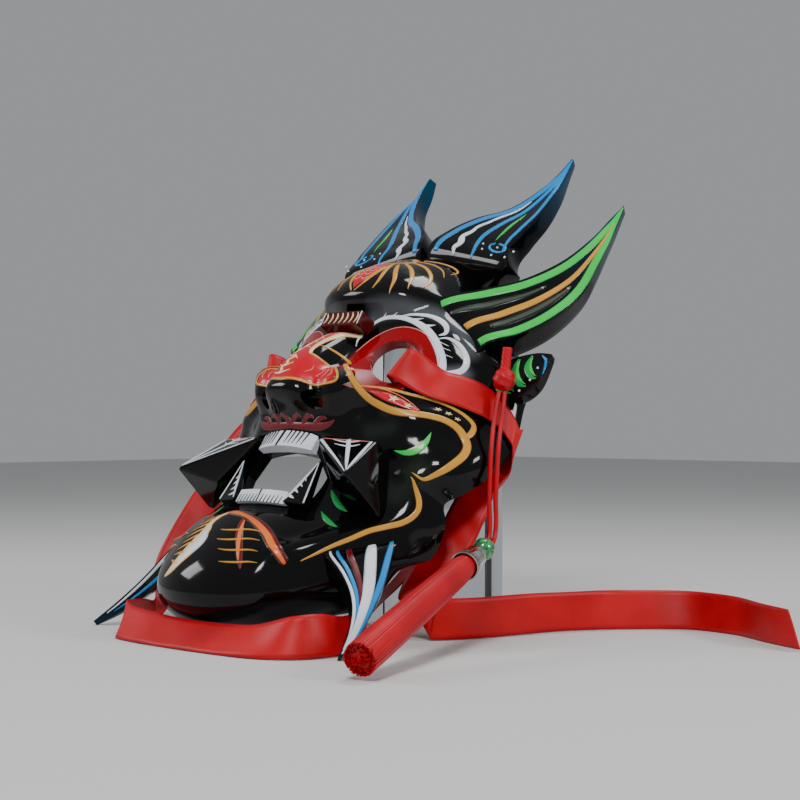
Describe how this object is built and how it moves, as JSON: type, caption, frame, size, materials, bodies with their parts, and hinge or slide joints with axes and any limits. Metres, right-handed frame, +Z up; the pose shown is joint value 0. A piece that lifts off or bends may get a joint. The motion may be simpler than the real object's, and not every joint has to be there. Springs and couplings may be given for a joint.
{
  "type": "carved demon opera mask on a clear stand",
  "caption": "Horned, tusked stage mask in black lacquer with painted ornament, satin tie ribbons and an ear tassel, leaning on a clear display block.",
  "frame": {"origin": "centre of the display block's bottom face, on the surface that it stands on", "axes": "+Z up, -Y the way the mask faces, +X the wearer's left, where the tassel hangs"},
  "size_m": [0.3286, 0.2514, 0.2492],
  "materials": {
    "black_lacquer": "high-gloss black lacquer with painted ornament",
    "blue_lacquer": "high-gloss blue lacquer",
    "green_lacquer": "high-gloss green and black lacquer",
    "white_paint": "gloss white paint",
    "red_paint": "gloss red paint",
    "red_satin": "red satin weave",
    "jade_glass": "polished green bead",
    "silver_cap": "embossed silver-coloured metal",
    "clear_acrylic": "clear polished acrylic"
  },
  "bodies": {
    "root": {"mask_face": "black_lacquer", "crown_horn_left": "blue_lacquer", "crown_horn_right": "blue_lacquer", "temple_horn_left": "green_lacquer", "temple_horn_right": "green_lacquer", "ear_left": "green_lacquer", "ear_right": "green_lacquer", "jaw_tusk_left": "white_paint", "jaw_tusk_right": "white_paint", "upper_tusk_left": "black_lacquer", "upper_tusk_right": "black_lacquer", "lower_fang_left": "white_paint", "lower_fang_right": "white_paint", "upper_teeth": "white_paint", "lower_teeth": "white_paint", "bridge_block": "red_paint", "display_block": "clear_acrylic", "ribbon_left": "red_satin", "ribbon_right": "red_satin", "tassel_knot": "red_satin", "tassel_cord_inner": "red_satin", "tassel_cord_outer": "red_satin", "tassel_bead": "jade_glass", "tassel_cap": "silver_cap", "tassel": "red_satin"}
  },
  "joints": []
}
